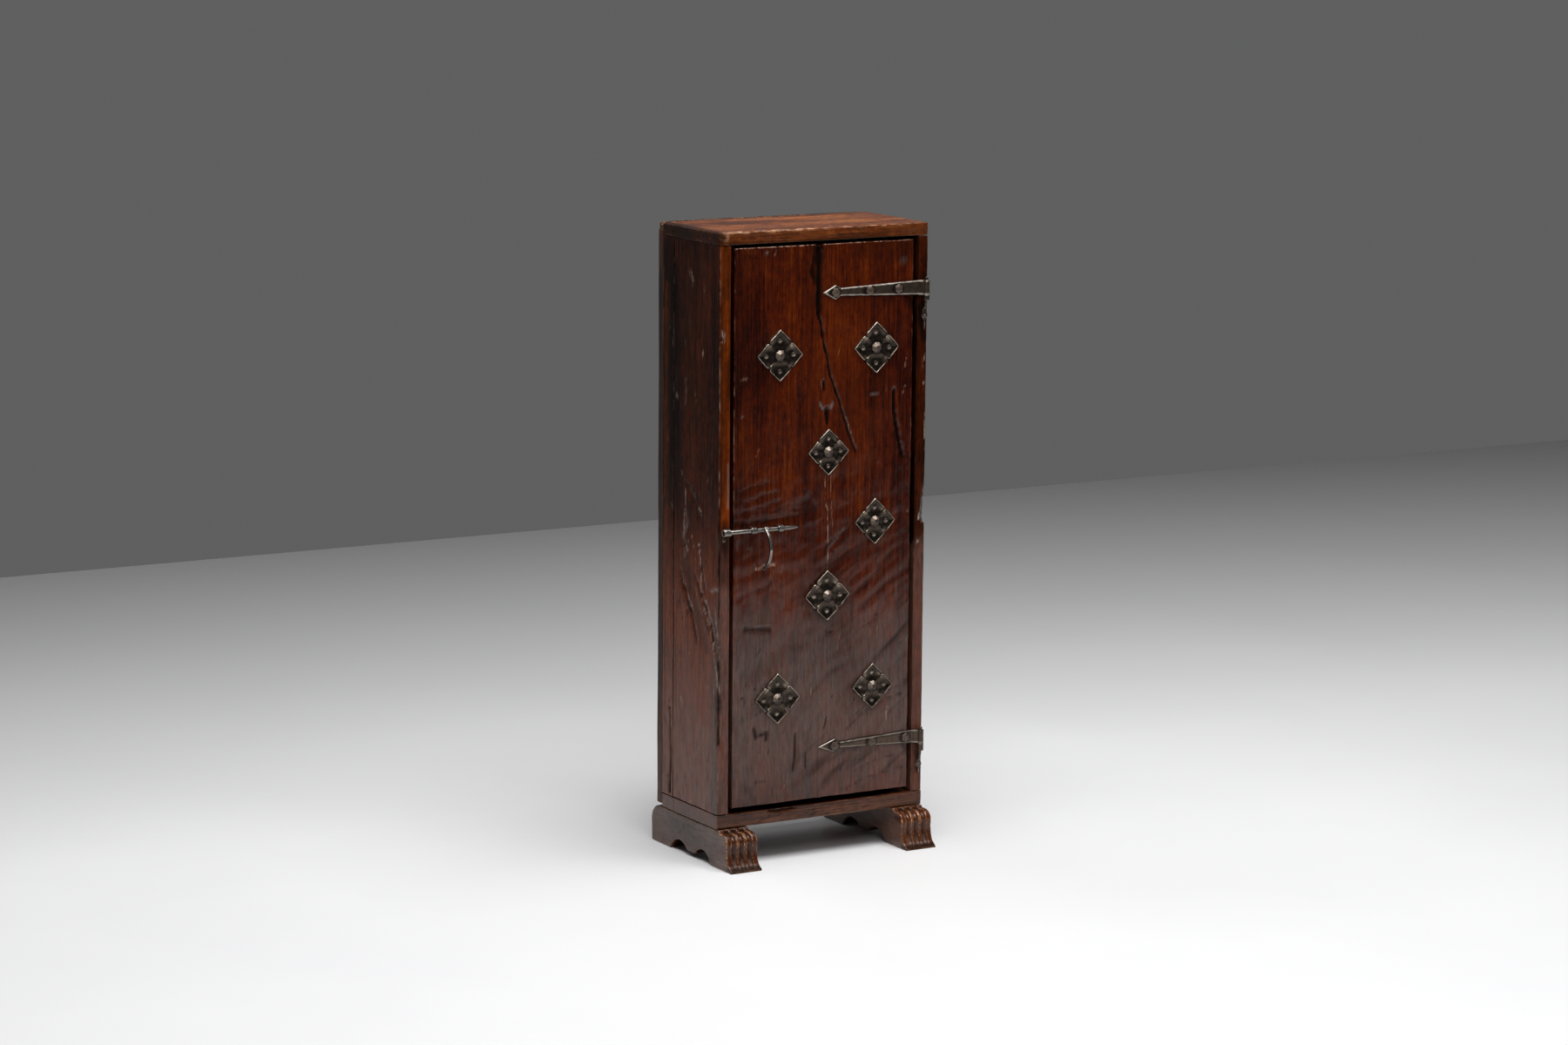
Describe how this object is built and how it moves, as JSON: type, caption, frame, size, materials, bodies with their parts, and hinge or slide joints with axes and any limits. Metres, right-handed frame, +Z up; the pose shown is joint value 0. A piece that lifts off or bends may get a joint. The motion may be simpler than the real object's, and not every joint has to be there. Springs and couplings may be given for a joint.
{
  "type": "cabinet",
  "caption": "Tall narrow standing cabinet of thick boards on two carved sled feet, with a plank door on forged strap hinges, iron rosettes and a sliding bolt.",
  "frame": {"origin": "on the floor, in the middle of the two feet's footprint", "axes": "+Z up, +Y to the back, +X to the right as seen by someone facing the door"},
  "size_m": [0.376, 0.264, 1],
  "materials": {
    "carcass_wood": "dark red-brown, waxed, worn edges",
    "door_wood": "glossy red-brown, waxed, cracked and scratched",
    "foot_wood": "carved, waxed, worn to copper brown on the ridges",
    "inner_wood": "dull, unwaxed",
    "strap_iron": "forged, dark grey-brown with rubbed edges",
    "rosette_iron": "chased, dark field with a bright rim",
    "nail_iron": "hammered, brown",
    "bolt_iron": "rubbed grey steel, dark in the hollows"
  },
  "bodies": {
    "carcass": {"top_board_front": "carcass_wood", "top_board_rear": "carcass_wood", "base_board_front": "carcass_wood", "base_board_rear": "carcass_wood", "left_side_board": "carcass_wood", "left_side_rear_strip": "carcass_wood", "right_side_board": "carcass_wood", "right_side_rear_strip": "carcass_wood", "back_plank_left": "carcass_wood", "back_plank_middle": "carcass_wood", "back_plank_right": "carcass_wood", "left_foot": "foot_wood", "right_foot": "foot_wood", "shelf_upper": "inner_wood", "shelf_lower": "inner_wood", "shelf_cleats": "inner_wood", "cleat_nails": "nail_iron", "carcass_pegs": "inner_wood", "foot_pegs": "inner_wood", "back_nails": "nail_iron", "upper_pintle": "strap_iron", "lower_pintle": "strap_iron", "pintle_nails": "nail_iron", "bolt_keeper": "bolt_iron", "keeper_nail": "nail_iron"},
    "door": {"door_panel": "door_wood", "upper_hinge_strap": "strap_iron", "lower_hinge_strap": "strap_iron", "strap_nails": "nail_iron", "rosette_upper_left": "rosette_iron", "rosette_upper_right": "rosette_iron", "rosette_centre_high": "rosette_iron", "rosette_middle_right": "rosette_iron", "rosette_centre_low": "rosette_iron", "rosette_lower_left": "rosette_iron", "rosette_lower_right": "rosette_iron", "rosette_nails": "nail_iron", "bolt_staple_left": "bolt_iron", "bolt_staple_right": "bolt_iron"},
    "bolt": {"bolt_rod": "bolt_iron"},
    "handle": {"bolt_handle": "bolt_iron"}
  },
  "joints": [
    {"name": "door_hinge", "type": "hinge", "parent": "carcass", "child": "door", "pos_m": [0.1805, -0.0915, 0.5], "axis": [0, 0, 1], "range_deg": [0, 210]},
    {"name": "bolt_slide", "type": "slide", "parent": "door", "child": "bolt", "axis": [1, 0, 0], "range_m": [-0.0135, 0.019]},
    {"name": "bolt_handle_turn", "type": "hinge", "parent": "bolt", "child": "handle", "pos_m": [-0.1092, -0.093, 0.5336], "axis": [-1, 0, 0], "range_deg": [0, 140]}
  ]
}
